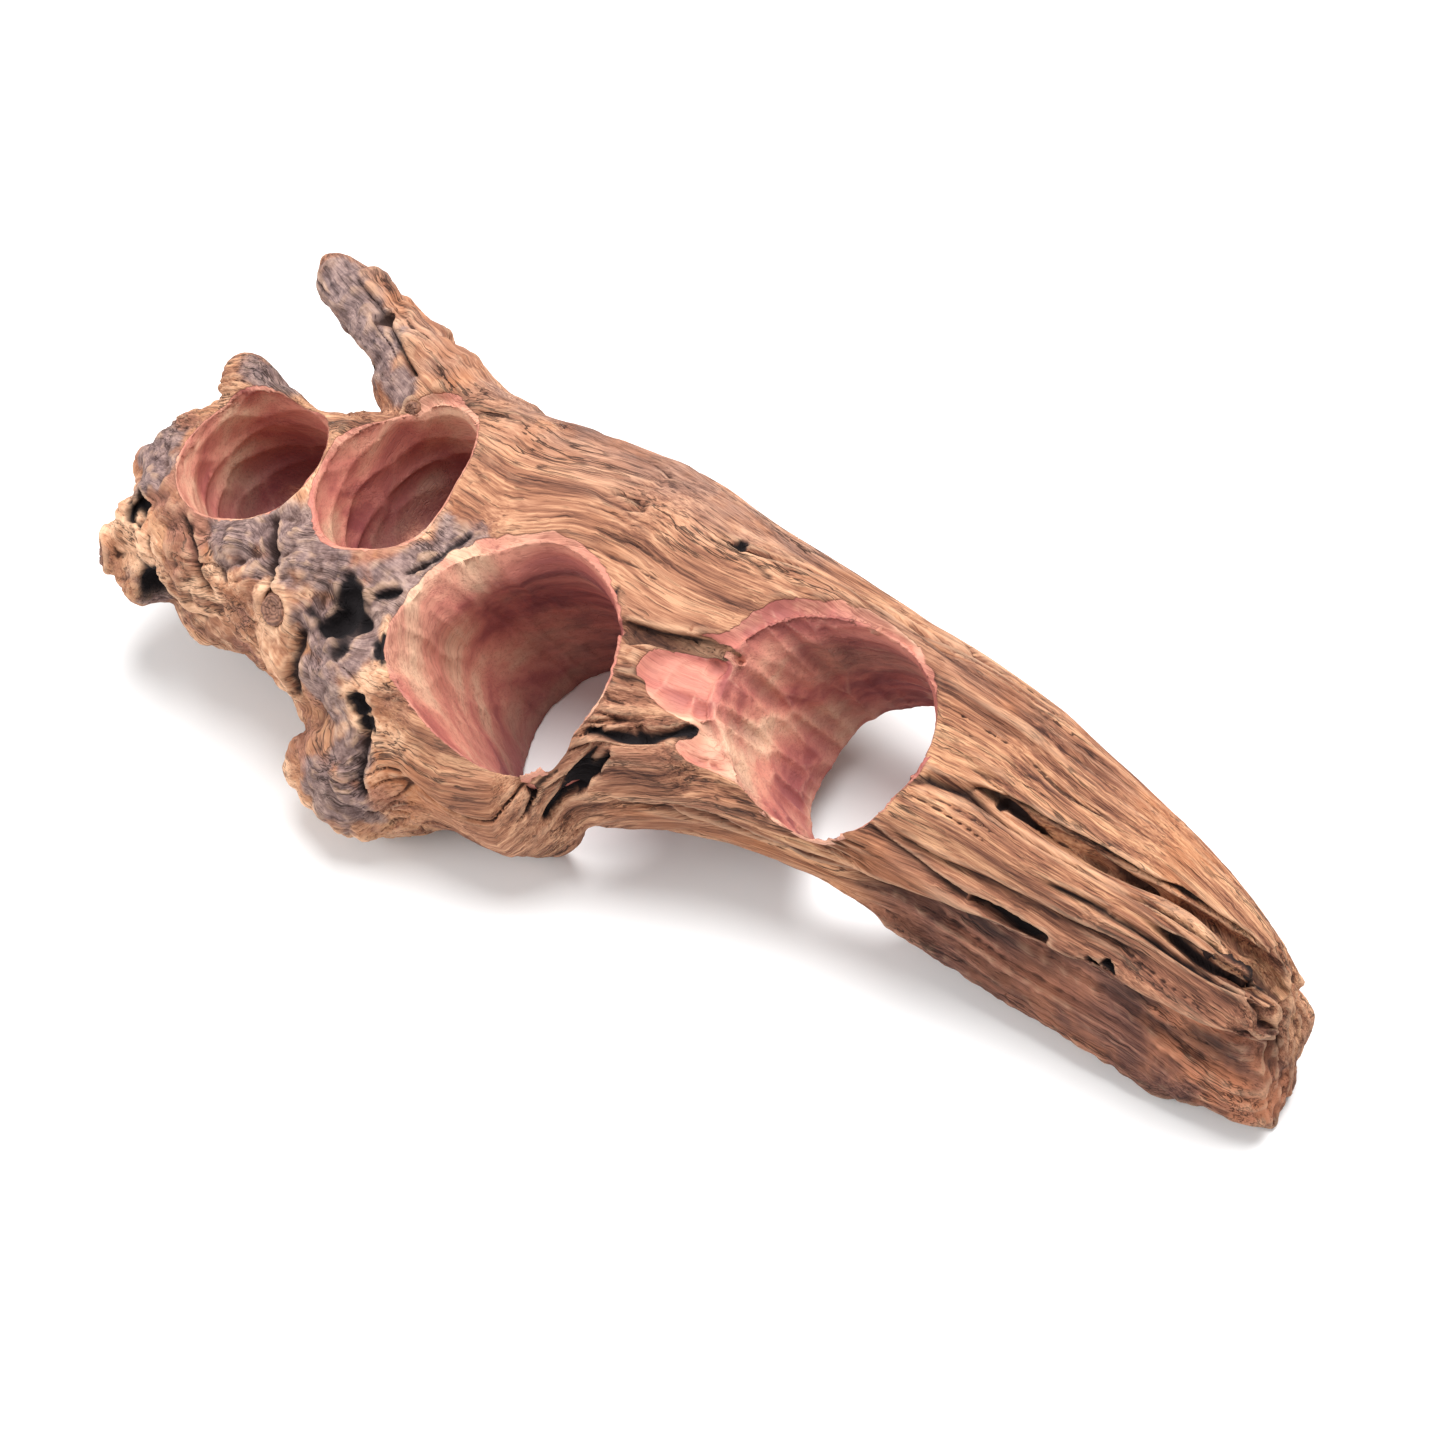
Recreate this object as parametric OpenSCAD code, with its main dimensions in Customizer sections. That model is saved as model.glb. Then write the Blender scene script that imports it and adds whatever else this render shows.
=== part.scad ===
// Driftwood: a root crown that runs out into a curved stem, with four hollows carved by hand.
// The crown is at -X and the stem's broken end at +X.  The wood lies on its own worn flats at
// z = 0, and the origin is under the middle of its box.  Millimetres throughout.

/* [What to draw] */
// sub-part to draw

/* [Hollows] */
// radius of the open hollow in the stem
stem_hollow_r = 45.5; // [42:0.5:51]
// radius of the open hollow in the middle of the wood
middle_hollow_r = 49; // [42:0.5:51]
// radius of the blind hollow in the end of the crown
crown_hollow_r = 35; // [28:0.5:37]
// half-width of the blind hollow beside the branch stub
stub_hollow_r = 31; // [26:0.5:33]
// depth of the two blind hollows below their rims
blind_depth = 72; // [60:1:82]

/* [Surface] */
// depth of the flutes that follow the grain of the stem
flute_depth = 2.2; // [0:0.1:4]
// number of broad flutes round the stem
flutes = 7; // [5:1:11]
// width of the drying cracks where they open
crack_w = 6; // [3:0.5:8]

/* [Encased knots] */
// radius of the knot on the crown's flank
flank_knot_r = 8; // [6:0.5:10]
// radius of the small knot at the rim of the hollow beside the stub
rim_knot_r = 4; // [3:0.5:5]
// radius of the knot in the tip of the crown's lobe
lobe_knot_r = 6.5; // [5:0.5:8]

/* [Hidden] */
wood = [0.62, 0.38, 0.24];
knot_wood = [0.36, 0.2, 0.13];
to_middle = [5.8, -1.1, 0];  // from the setting-out point to the middle of the wood's box

sides = 36;          // points round the trunk's skin
shaft_sides = 44;    // points round a hollow
slices = 2;          // rings the skin has for each station of the trunk
flute_twist = 0.35;  // degrees the flutes turn for each millimetre along the stem
flute_start = -60;   // x at which the flutes begin to show
flute_run = 120;     // length over which they reach their full depth
knot_length = 24;    // how far a knot reaches in to the wood
knot_taper = 0.6;    // radius of a knot's inner end over its outer radius
knot_proud = 1.5;    // how far a knot stands out of the wood

// Mouth and foot of each hollow's axis
stem_hollow = [[75, -5.5, 97], [101, 7.5, 20]];
middle_hollow = [[-72, -38, 108], [-48, -24, 16]];
crown_hollow = [[-243, -2, 112], [-236, 2, 112 - blind_depth]];
stub_hollow = [[-170, 18, 114], [-160, 14, 114 - blind_depth]];

// Point on the surface and outward direction of each knot
flank_knot_seat = [[-186, -65, 103], [-0.1, -0.6, 0.8]];
rim_knot_seat = [[-191, 55, 101], [-0.2, -0.8, 0.6]];
lobe_knot_seat = [[-311, -62, 68], [-0.75, -0.55, 0.35]];

// Stations of the trunk: x, front edge, back edge, underside, top, squareness, lean
trunk = [
    [-306, -40,  16, 54,  90, 2.2, 0.00],
    [-298, -60,  34, 32, 102, 2.3, 0.00],
    [-270, -70,  44, 10, 112, 2.6, 0.00],
    [-235, -72,  46,  2, 116, 2.8, 0.00],
    [-200, -76,  60, -3, 117, 2.8, 0.00],
    [-160, -86,  84, -3, 118, 2.8, 0.00],
    [-120, -92,  92, -3, 117, 2.8, 0.00],
    [ -80, -90,  94, -3, 114, 2.8, 0.00],
    [ -40, -80,  91,  4, 111, 2.8, 0.04],
    [   0, -66,  81, 14, 107, 2.7, 0.08],
    [  40, -54,  74, 20, 103, 2.6, 0.12],
    [  80, -50,  67, 20, 100, 2.5, 0.14],
    [ 120, -48,  61, 20,  98, 2.5, 0.13],
    [ 160, -48,  53, 16,  96, 2.5, 0.12],
    [ 200, -50,  41, 11,  93, 2.5, 0.12],
    [ 240, -54,  25,  4,  90, 2.5, 0.16],
    [ 275, -58,   6, -3,  86, 2.6, 0.24],
    [ 298, -60, -10, -3,  80, 2.8, 0.30],
    [ 308, -54, -17,  6,  70, 2.8, 0.32]
];

// Smooth curve through four neighbouring stations
function glide(a, b, c, d, t) =
    0.5 * (2 * b + (c - a) * t + (2 * a - 5 * b + 4 * c - d) * t * t + (3 * b - a - 3 * c + d) * t * t * t);

// Signed power, for a section between an ellipse and a rounded square
function swell(v, n) = sign(v) * pow(abs(v), 2 / n);

function flute(x, a) =
    flute_depth * (0.7 * sin(flutes * a + flute_twist * x) + 0.5 * sin((2 * flutes - 3) * a - x))
    * min(1, max(0, (x - flute_start) / flute_run));

function ring(s) =
    let (
        mid_y = (s[1] + s[2]) / 2,
        mid_z = (s[3] + s[4]) / 2,
        half_y = (s[2] - s[1]) / 2,
        half_z = (s[4] - s[3]) / 2
    )
    [for (i = [0 : sides - 1])
        let (
            a = 360 * i / sides,
            f = flute(s[0], a),
            u = swell(cos(a), s[5]),
            v = swell(sin(a), s[5])
        )
        [s[0], mid_y + (half_y + f) * u + s[6] * half_z * v, mid_z + (half_z + f) * v]
    ];

function station(i) = trunk[min(max(i, 0), len(trunk) - 1)];

function smooth_trunk() = [
    for (i = [0 : len(trunk) - 2], k = [0 : slices - 1])
        glide(station(i - 1), station(i), station(i + 1), station(i + 2), k / slices),
    station(len(trunk))
];

// Closed skin over a run of rings
module loft(rings) {
    n = len(rings[0]);
    m = len(rings);
    skin = [
        for (j = [0 : m - 2], i = [0 : n - 1])
            [j * n + i, (j + 1) * n + i, (j + 1) * n + (i + 1) % n, j * n + (i + 1) % n]
    ];
    near_end = [for (i = [0 : n - 1]) i];
    far_end = [for (i = [n - 1 : -1 : 0]) (m - 1) * n + i];
    polyhedron(concat([for (r = rings) each r]), concat(skin, [near_end, far_end]), convexity = 8);
}

// Turns +Z to a direction at a place
module aim(place, direction) {
    translate(place)
        rotate([0, acos(direction[2] / norm(direction)), atan2(direction[1], direction[0])])
            children();
}

// Egg shape, placed by its middle and its three half-sizes
module egg(place, size) {
    translate(place) scale(size) sphere(1, $fn = 20);
}

// Smooth limb between two eggs
module limb(from, from_size, to, to_size) {
    hull() {
        egg(from, from_size);
        egg(to, to_size);
    }
}

// Branch stub at the back of the crown
module stub() {
    limb([-150, 62, 74], [40, 26, 32], [-200, 76, 84], [28, 25, 26]);
    limb([-200, 76, 84], [28, 25, 26], [-246, 101, 88], [20, 16, 20]);
    limb([-246, 101, 88], [20, 16, 20], [-278, 111, 92], [14, 13, 15]);
}

// Lobes and burls of the crown, and the small fin under the stem
module swellings() {
    limb([-262, -30, 60], [34, 34, 40], [-294, -48, 58], [26, 24, 27]);
    limb([-275, -13, 76], [26, 24, 26], [-299, -15, 85], [14, 12, 14]);
    limb([-262, 24, 84], [26, 24, 28], [-281, 38, 100], [12, 10, 12]);
    limb([-120, -76, 36], [50, 32, 40], [-148, -92, 30], [34, 30, 33]);
    limb([-120, -68, 50], [40, 34, 44], [-64, -70, 40], [38, 31, 43]);
    limb([-80, 66, 76], [26, 24, 24], [-58, 80, 84], [14, 10, 10]);
    limb([-214, -40, 78], [30, 28, 34], [-176, -50, 84], [28, 24, 28]);
    limb([-40, -44, 70], [34, 24, 32], [8, -46, 74], [26, 14, 22]);
    limb([110, -38, 34], [30, 12, 14], [152, -50, 24], [10, 6, 7]);
    limb([150, -42, 24], [40, 16, 18], [262, -52, 16], [38, 16, 17]);
}

// Round cutter that follows an axis: each level is a share of the way down it and the
// half-sizes there, listed from the foot up
module shaft(axis, levels) {
    run = axis[1] - axis[0];
    loft([
        for (l = levels)
            let (c = axis[0] + l[0] * run)
            [for (i = [0 : shaft_sides - 1])
                let (a = 360 * i / shaft_sides)
                [c[0] + l[1][0] * cos(a), c[1] + l[1][1] * sin(a), c[2]]
            ]
    ]);
}

// Hollow that goes right through, flared at both mouths
module open_hollow(axis, r) {
    size = [r, r];
    shaft(axis, [
        [1.60, 1.15 * size],
        [0.85, 0.97 * size],
        [0.12, size],
        [-0.04, 1.12 * size],
        [-0.50, 1.3 * size]
    ]);
}

// Hollow with a rounded floor
module blind_hollow(axis, size) {
    shaft(axis, [
        [1.00, 0.45 * size],
        [0.90, 0.78 * size],
        [0.70, 0.94 * size],
        [0.20, size],
        [0.00, 1.05 * size],
        [-0.50, 1.2 * size]
    ]);
}

module hollows() {
    open_hollow(stem_hollow, stem_hollow_r);
    open_hollow(middle_hollow, middle_hollow_r);
    blind_hollow(crown_hollow, [crown_hollow_r, crown_hollow_r]);
    blind_hollow(stub_hollow, [stub_hollow_r, 1.4 * stub_hollow_r]);
}

// Crack that opens along a path and closes at a depth below it
module crack(path, width, depth) {
    for (i = [0 : len(path) - 2]) {
        hull() {
            for (p = [path[i], path[i + 1]]) {
                translate(p) sphere(width / 2, $fn = 8);
                translate(p + depth) sphere(0.5, $fn = 6);
            }
        }
    }
}

module cracks() {
    crack([[133, -8, 99], [152, -7, 98]], 0.7 * crack_w, [0, 2, -12]);
    crack([[152, -7, 98], [176, -9, 98], [213, -11, 95], [251, -13, 93], [302, -18, 86]], 1.4 * crack_w, [0, 4, -22]);
    crack([[230, -29, 90], [263, -31, 88], [309, -31, 78]], 1.1 * crack_w, [0, 5, -16]);
    crack([[-30, -8, 110], [-9, -3, 108], [16, 4, 105], [32, 7, 100]], 0.8 * crack_w, [0, 1, -12]);
    crack([[-14, -52, 98], [2, -46, 98], [28, -32, 98]], 0.8 * crack_w, [0, 3, -9]);
    crack([[-8, -58, 92], [-15, -68, 81], [-22, -76, 68], [-31, -88, 50]], crack_w, [-4, 9, -3]);
    crack([[-30, -70, 92], [-36, -80, 77], [-39, -90, 62]], 0.8 * crack_w, [2, 8, -3]);
}

// Rotted pits, the slots and the hollow flank of the stem, its broken end and the worn stub
module pits() {
    limb([-158, -56, 115], [14, 10, 12], [-144, -59, 113], [13, 11, 12]);
    limb([-273, -71, 60], [9, 7, 11], [-262, -73, 81], [9, 7, 10]);
    limb([-287, -47, 99], [5, 4, 8], [-289, -44, 94], [4, 4, 5]);
    limb([176, -47, 73], [5, 4, 3], [200, -44, 75], [4, 4, 3]);
    limb([226, -49, 72], [5, 5, 4], [240, -48, 73], [5, 5, 4]);
    limb([284, -20, 80], [8, 4, 6], [308, -21, 72], [12, 7, 9]);
    limb([124, -57, 50], [30, 10, 9], [215, -61, 49], [34, 13, 13]);
    limb([215, -61, 49], [34, 13, 13], [300, -67, 46], [30, 14, 12]);
    limb([318, -58, 52], [16, 12, 22], [318, -66, 20], [14, 9, 20]);
    limb([-283, 97, 108], [14, 7, 8], [-228, 64, 110], [18, 9, 14]);
}

// Tapered plug of a dead branch, with a worn outer end
module knot(seat, r) {
    inner = knot_length + knot_proud;
    worn = 0.25 * r;
    aim(seat[0], seat[1]) translate([0, 0, -knot_length]) {
        cylinder(inner - worn, knot_taper * r, r, $fn = 48);
        translate([0, 0, inner - worn]) cylinder(worn, r, 0.8 * r, $fn = 48);
    }
}

module driftwood() {
    color(wood) difference() {
        union() {
            loft([for (s = smooth_trunk()) ring(s)]);
            stub();
            swellings();
        }
        hollows();
        cracks();
        pits();
        knot(flank_knot_seat, flank_knot_r);
        knot(rim_knot_seat, rim_knot_r);
        knot(lobe_knot_seat, lobe_knot_r);
        translate([0, 0, -50]) cube([800, 400, 100], center = true);
    }
}

module flank_knot() {
    color(knot_wood) knot(flank_knot_seat, flank_knot_r);
}

module rim_knot() {
    color(knot_wood) knot(rim_knot_seat, rim_knot_r);
}

module lobe_knot() {
    color(knot_wood) knot(lobe_knot_seat, lobe_knot_r);
}

translate(to_middle) driftwood();
translate(to_middle) flank_knot();
translate(to_middle) rim_knot();
translate(to_middle) lobe_knot();
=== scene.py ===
import math

import bmesh
import bpy
import numpy as np
from mathutils import Matrix, Vector


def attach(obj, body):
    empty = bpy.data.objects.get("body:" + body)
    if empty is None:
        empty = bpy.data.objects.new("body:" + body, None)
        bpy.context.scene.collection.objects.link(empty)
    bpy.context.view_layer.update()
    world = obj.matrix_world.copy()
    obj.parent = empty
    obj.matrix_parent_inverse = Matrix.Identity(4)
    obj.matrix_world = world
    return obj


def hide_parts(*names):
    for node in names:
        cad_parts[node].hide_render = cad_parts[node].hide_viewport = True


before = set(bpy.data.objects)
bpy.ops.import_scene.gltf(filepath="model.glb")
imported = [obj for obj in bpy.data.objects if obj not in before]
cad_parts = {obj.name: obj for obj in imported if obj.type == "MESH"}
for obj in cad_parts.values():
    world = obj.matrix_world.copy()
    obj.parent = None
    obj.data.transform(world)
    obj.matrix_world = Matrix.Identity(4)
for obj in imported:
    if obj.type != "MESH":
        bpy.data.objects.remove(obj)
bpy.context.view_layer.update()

# --- The driftwood: its body ---------------------------------------------------------------
# One grown piece of hardwood, the root crown running out into a curved stem, rolled smooth and
# cracked by the sea and the sun. It is a single lump, so nothing holds it together but its grain.

MM = 0.001
MIDDLE = np.array([5.8, -1.1, 0.0])  # from the setting-out point to the origin, in millimetres
SAME_CORNER = 2e-6  # corners nearer than this are one corner, in metres
FAR_OFF = 1e9


def copy_of(node, name):
    """A new piece with a CAD node's shape, its corners merged."""
    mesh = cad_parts[node].data.copy()
    mesh.name = name
    mesh.materials.clear()
    shape = bmesh.new()
    shape.from_mesh(mesh)
    bmesh.ops.remove_doubles(shape, verts=shape.verts, dist=SAME_CORNER)
    shape.to_mesh(mesh)
    shape.free()
    piece = bpy.data.objects.new(name, mesh)
    bpy.context.scene.collection.objects.link(piece)
    return piece


def work_in(piece, kind, **settings):
    """Run one modifier and keep its result as the piece's mesh."""
    step = piece.modifiers.new(kind.title(), kind)
    for setting, value in settings.items():
        setattr(step, setting, value)
    settled = piece.evaluated_get(bpy.context.evaluated_depsgraph_get())
    made = bpy.data.meshes.new_from_object(settled)
    piece.modifiers.clear()
    old = piece.data
    piece.data = made
    made.name = old.name
    bpy.data.meshes.remove(old)


def points_of(mesh):
    """Vertex places in millimetres from the setting-out point."""
    flat = np.empty(len(mesh.vertices) * 3, np.float32)
    mesh.vertices.foreach_get("co", flat)
    return flat.reshape(-1, 3).astype(float) / MM - MIDDLE


def move_points(mesh, points):
    """Put vertices at places given in millimetres from the setting-out point."""
    flat = ((points + MIDDLE) * MM).astype(np.float32).reshape(-1)
    mesh.vertices.foreach_set("co", flat)
    mesh.update()


def normals_of(mesh):
    flat = np.empty(len(mesh.vertices) * 3, np.float32)
    mesh.vertex_normals.foreach_get("vector", flat)
    return flat.reshape(-1, 3).astype(float)


def edges_of(mesh):
    flat = np.empty(len(mesh.edges) * 2, np.int32)
    mesh.edges.foreach_get("vertices", flat)
    return flat.reshape(-1, 2)


def store(mesh, name, field):
    """Keep a number or a vector for each vertex, for the finish to read."""
    if field.ndim == 2:
        kept = mesh.attributes.new(name, "FLOAT_VECTOR", "POINT").data
        kept.foreach_set("vector", field.astype(np.float32).reshape(-1))
    else:
        kept = mesh.attributes.new(name, "FLOAT", "POINT").data
        kept.foreach_set("value", field.astype(np.float32))


def spread(field, edges, rounds):
    """Even a field out over neighbouring vertices."""
    count = len(field)
    one, other = edges[:, 0], edges[:, 1]
    near = np.maximum(np.bincount(one, minlength=count) + np.bincount(other, minlength=count), 1)
    for _ in range(rounds):
        total = np.bincount(one, field[other], count) + np.bincount(other, field[one], count)
        field = 0.5 * field + 0.5 * total / near
    return field


def relax(points, edges, share, rounds, pull=1.0):
    """Draw each point toward the middle of its neighbours, by its own share."""
    for _ in range(rounds):
        for k in range(3):
            points[:, k] += (spread(points[:, k], edges, 1) - points[:, k]) * share * pull


def ease(low, high, value):
    """0 at the low value and 1 at the high one, with a smooth passage between."""
    share = np.clip((value - low) / (high - low), 0.0, 1.0)
    return share * share * (3 - 2 * share)


def hump(value, middle, width):
    """1 at the middle, dying away on either side."""
    return np.exp(-(((value - middle) / width) ** 2))


def far_from(points, place):
    return np.linalg.norm(points - place, axis=1)


def scatter(i, j, k, seed):
    """A repeatable random whole number for each cell."""
    mixed = i.astype(np.int64) * 374761393 + j.astype(np.int64) * 668265263
    mixed = mixed + k.astype(np.int64) * 2147483629 + seed * 974711
    mixed = mixed & 0xFFFFFFFF
    mixed = ((mixed ^ (mixed >> 13)) * 1274126177) & 0xFFFFFFFF
    return mixed ^ (mixed >> 16)


def growth(points, seed):
    """Smooth random growth between about -0.8 and 0.8, at a scale of one unit."""
    cell = np.floor(points).astype(np.int64)
    inner = points - cell
    near = inner * inner * inner * (inner * (inner * 6 - 15) + 10)
    total = np.zeros(len(points))
    for dx in (0, 1):
        for dy in (0, 1):
            for dz in (0, 1):
                mixed = scatter(cell[:, 0] + dx, cell[:, 1] + dy, cell[:, 2] + dz, seed)
                lean = ((mixed & 1023) / 511.5 - 1) * (inner[:, 0] - dx)
                lean += (((mixed >> 10) & 1023) / 511.5 - 1) * (inner[:, 1] - dy)
                lean += (((mixed >> 20) & 1023) / 511.5 - 1) * (inner[:, 2] - dz)
                share = near[:, 0] if dx else 1 - near[:, 0]
                share = share * (near[:, 1] if dy else 1 - near[:, 1])
                total += lean * share * (near[:, 2] if dz else 1 - near[:, 2])
    return total * 1.3


# Stations of the trunk: x, front edge, back edge, underside, top, lean
STATIONS = np.array([
    (-306, -44, 30, 34, 100, 0.00),
    (-270, -70, 44, 10, 112, 0.00),
    (-235, -72, 46, 2, 116, 0.00),
    (-200, -76, 60, -3, 117, 0.00),
    (-160, -86, 84, -3, 118, 0.00),
    (-120, -92, 92, -3, 117, 0.00),
    (-80, -90, 94, -3, 114, 0.00),
    (-40, -80, 91, 4, 111, 0.04),
    (0, -66, 81, 14, 107, 0.08),
    (40, -54, 74, 20, 103, 0.12),
    (80, -50, 67, 20, 100, 0.14),
    (120, -48, 61, 20, 98, 0.13),
    (160, -48, 53, 16, 96, 0.12),
    (200, -50, 41, 11, 93, 0.12),
    (240, -54, 25, 4, 90, 0.16),
    (275, -58, 6, -3, 86, 0.24),
    (308, -60, -12, -3, 80, 0.32),
], float)


def near_path(points, path):
    """For each point: its distance from a path, how far along that is, the offset, the way there."""
    best = np.full(len(points), FAR_OFF)
    share = np.zeros(len(points))
    offset = np.zeros((len(points), 3))
    way = np.zeros((len(points), 3))
    path = np.array(path, float)
    for i in range(len(path) - 1):
        run = path[i + 1] - path[i]
        part = np.clip(((points - path[i]) @ run) / (run @ run), 0, 1)
        off = points - path[i] - part[:, None] * run
        far = np.linalg.norm(off, axis=1)
        closer = far < best
        best[closer] = far[closer]
        share[closer] = (i + part[closer]) / (len(path) - 1)
        offset[closer] = off[closer]
        way[closer] = run / np.linalg.norm(run)
    return best, share, offset, way


# The branch stub's middle line, from the crown to its broken tip
STUB = ((-150, 62, 74), (-200, 76, 84), (-246, 101, 88), (-278, 111, 92))


def stub_share(points):
    """1 on the branch stub, 0 on the rest of the crown."""
    far, share, *_ = near_path(points, STUB)
    return ease(1.5, 1.0, far / (34 - 10 * share)) * ease(-140, -190, points[:, 0])


def along_grain(points):
    """Where each point lies in the wood as it grew, along and across, and how wild its grain is."""
    x, y, z = points[:, 0], points[:, 1].copy(), points[:, 2].copy()
    # the stub is laid straight back against the place it grows from
    stub = stub_share(points)
    stub_tip, stub_foot = -290, -165
    y -= stub * (np.interp(x, [stub_tip, stub_foot], [114, 68]) - 68)
    z -= stub * (np.interp(x, [stub_tip, stub_foot], [92, 78]) - 78)
    at = x * (1 - stub) + stub_foot * stub
    front, back, under, top, lean = (np.interp(at, STATIONS[:, 0], STATIONS[:, k]) for k in range(1, 6))
    up = (z - (under + top) / 2) / ((top - under) / 2)
    across = (y - (front + back) / 2 - lean * (top - under) / 2 * up) / ((back - front) / 2)
    # as if the stem were of even girth, with a sweep where its front runs into the crown
    aside, upward = across * 54, up * 48
    sweep = np.clip(25 - x, 0, 80) ** 2 * 0.006 * ease(-0.35, -0.8, across) * (1 - stub)
    upward = upward + sweep
    wild = ease(-30, -170, x) * (1 - 0.75 * stub) * (0.35 + 0.65 * ease(40, -30, y))
    along = x + 26 * wild * growth(points / 58, 3)
    aside = aside + 24 * wild * growth(points / 46, 5) + 5 * growth(points / 70, 8)
    upward = upward + 24 * wild * growth(points / 46, 7) + 5 * growth(points / 70, 9)
    return np.stack([along, aside, upward], 1), wild


# A hollow's outline: share of the way down, share of the half-size there
THROUGH = ((-0.5, 1.3), (-0.04, 1.12), (0.12, 1.0), (0.85, 0.97), (1.6, 1.15))
BLIND = ((-0.5, 1.2), (0, 1.05), (0.2, 1.0), (0.7, 0.94), (0.9, 0.78), (1.0, 0.45), (1.04, 0.05))
# The hollows: the mouth and the foot of the axis, the half-sizes, the outline
HOLLOWS = {
    "stem": ((75, -5.5, 97), (101, 7.5, 20), (45.5, 45.5), THROUGH),
    "middle": ((-72, -38, 108), (-48, -24, 16), (49, 49), THROUGH),
    "crown": ((-243, -2, 112), (-236, 2, 40), (35, 35), BLIND),
    "stub": ((-170, 18, 114), (-160, 14, 42), (31, 43.4), BLIND),
}


def inside_hollow(points, hollow):
    """How far inside a hollow each point is, its place round and down it, and the mean half-size."""
    top, foot, size, outline = hollow
    top, foot = np.array(top, float), np.array(foot, float)
    down = (points[:, 2] - top[2]) / (foot[2] - top[2])
    centre = top + down[:, None] * (foot - top)
    dx, dy = (points[:, 0] - centre[:, 0]) / size[0], (points[:, 1] - centre[:, 1]) / size[1]
    reach = np.hypot(dx, dy)
    shares, widths = zip(*outline)
    wide = np.interp(down, shares, widths, right=widths[-1])
    mean = (size[0] + size[1]) / 2
    inside = (wide - reach) * mean
    floor = (1.0 - down) * (top[2] - foot[2])
    if outline is BLIND:
        inside = np.minimum(inside, floor + 1.0)
    return inside, np.arctan2(dy, dx), down * (top[2] - foot[2]), mean


# Splits and gouged-out rot: path, reach toward the front, reach toward the back, depth, strength of the
# painted black shade in the deepest part
GROOVES = [
    (
        (
            (110, -20, 96), (133, -10, 99), (152, -8, 99), (176, -9, 98),
            (213, -11, 95), (251, -13, 93), (302, -18, 86),
        ),
        7, 4, 6, 0.8,
    ),
    (((196, -31, 92), (230, -29, 90), (263, -31, 88), (309, -31, 78)), 4.5, 2.6, 5, 0.9),
    (((120, -34, 88), (160, -38, 86), (205, -39, 84), (250, -42, 82)), 8, 1.8, 4, 0.4),
    (((-34, -8, 110), (-9, -2, 108), (16, 5, 105), (34, 9, 100)), 7, 2.0, 6, 0.6),
    (((-22, -55, 96), (2, -47, 98), (30, -33, 98)), 4.5, 2.0, 6, 1.0),
    (((-38, -30, 106), (-10, -27, 106), (14, -20, 105)), 5, 1.8, 2.5, 0.5),
    (((-6, -56, 93), (-15, -68, 81), (-22, -76, 68), (-31, -88, 50)), 4, 3, 7, 1.0),
    (((-27, -74, 86), (-33, -84, 72), (-37, -91, 58)), 3, 2.5, 3, 0.8),
    (((168, -47, 75), (188, -46, 75), (209, -47, 73)), 4.6, 3.0, 10, 1.0),
    (((100, -30, 90), (118, -36, 86), (150, -44, 79), (170, -46, 76)), 6, 2, 3, 0.6),
    (((16, -58, 70), (50, -55, 62), (95, -50, 52)), 5, 2.4, 5, 0.7),
    (((-10, -66, 70), (30, -60, 58), (70, -55, 48)), 4, 2.4, 3, 0.5),
    (((60, 42, 98), (90, 36, 98), (118, 27, 98)), 4, 1.8, 2, 0.4),
    (((-20, 52, 104), (4, 50, 104), (22, 44, 104)), 4, 1.8, 2, 0.6),
    (((-132, -30, 114), (-120, -16, 114), (-112, 4, 115)), 3.5, 1.8, 4, 0.9),
    (((-140, -44, 114), (-128, -34, 112)), 5, 3, 5, 1.0),
    (((-122, -92, 92), (-126, -104, 72), (-122, -112, 48)), 6, 4, 6, 0.7),
    (((-266, 110, 103), (-242, 99, 106), (-217, 83, 109), (-196, 68, 110)), 5, 2.2, 5, 0.6),
    (((-212, -20, 116), (-196, -48, 112), (-188, -62, 104)), 6, 3, 5, 0.6),
    (((-258, -40, 112), (-242, -58, 104), (-232, -70, 90)), 6, 3, 5, 0.6),
    (((-170, -68, 106), (-172, -84, 88), (-178, -90, 62)), 6, 3.5, 6, 0.7),
]
# The splits whose floors are evened before the weather works on them
LONG_SPLITS = GROOVES[:7]
# Rot holes and hollows, painted black inside as shade: place, reach, depth
PITS = [
    ((-151, -57, 114), 19, 9), ((-267, -71, 71), 17, 9), ((-288, -46, 99), 9, 9), ((300, -23, 76), 8, 3),
    ((-120, -62, 104), 9, 4), ((231, -49, 73), 6, 7), ((237, -49, 72.5), 6, 7),
    ((-127, -85, 89), 7, 5), ((-123, -90, 82), 6, 5), ((-120, -59, 107), 7, 3), ((-2, 56, 104), 4, 4),
    ((72, 49, 97), 3.5, 4), ((-37, 5, 111), 4, 4), ((-236, 70, 88), 10, 7), ((-300, -20, 60), 9, 5),
]
# Greyed patches: place, reach
GREYED = [
    ((-195, -36, 115), 22), ((-221, -38, 114), 19), ((-175, -34, 116), 18), ((-127, -39, 111), 15),
    ((-124, -20, 111), 17), ((-116, -4, 114), 15), ((-134, -39, 115), 13), ((-298, -10, 102), 16),
    ((-289, -28, 105), 14), ((-262, 38, 108), 15), ((-268, 97, 102), 18), ((-249, 87, 101), 18),
    ((-227, 75, 103), 17), ((-205, 62, 104), 12), ((-152, -84, 84), 18), ((-131, -101, 63), 15),
    ((-139, -117, 45), 22), ((-283, -60, 60), 14), ((-150, -62, 112), 26),
]
# The seats of the flank, rim and lobe knots: place, the way their end grain faces, reach
KNOT_SEATS = [
    ((-186, -65, 103), (-0.1, -0.6, 0.8), 8),
    ((-191, 55, 101), (-0.2, -0.8, 0.6), 4),
    ((-311, -62, 68), (-0.75, -0.55, 0.35), 6.5),
]


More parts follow.
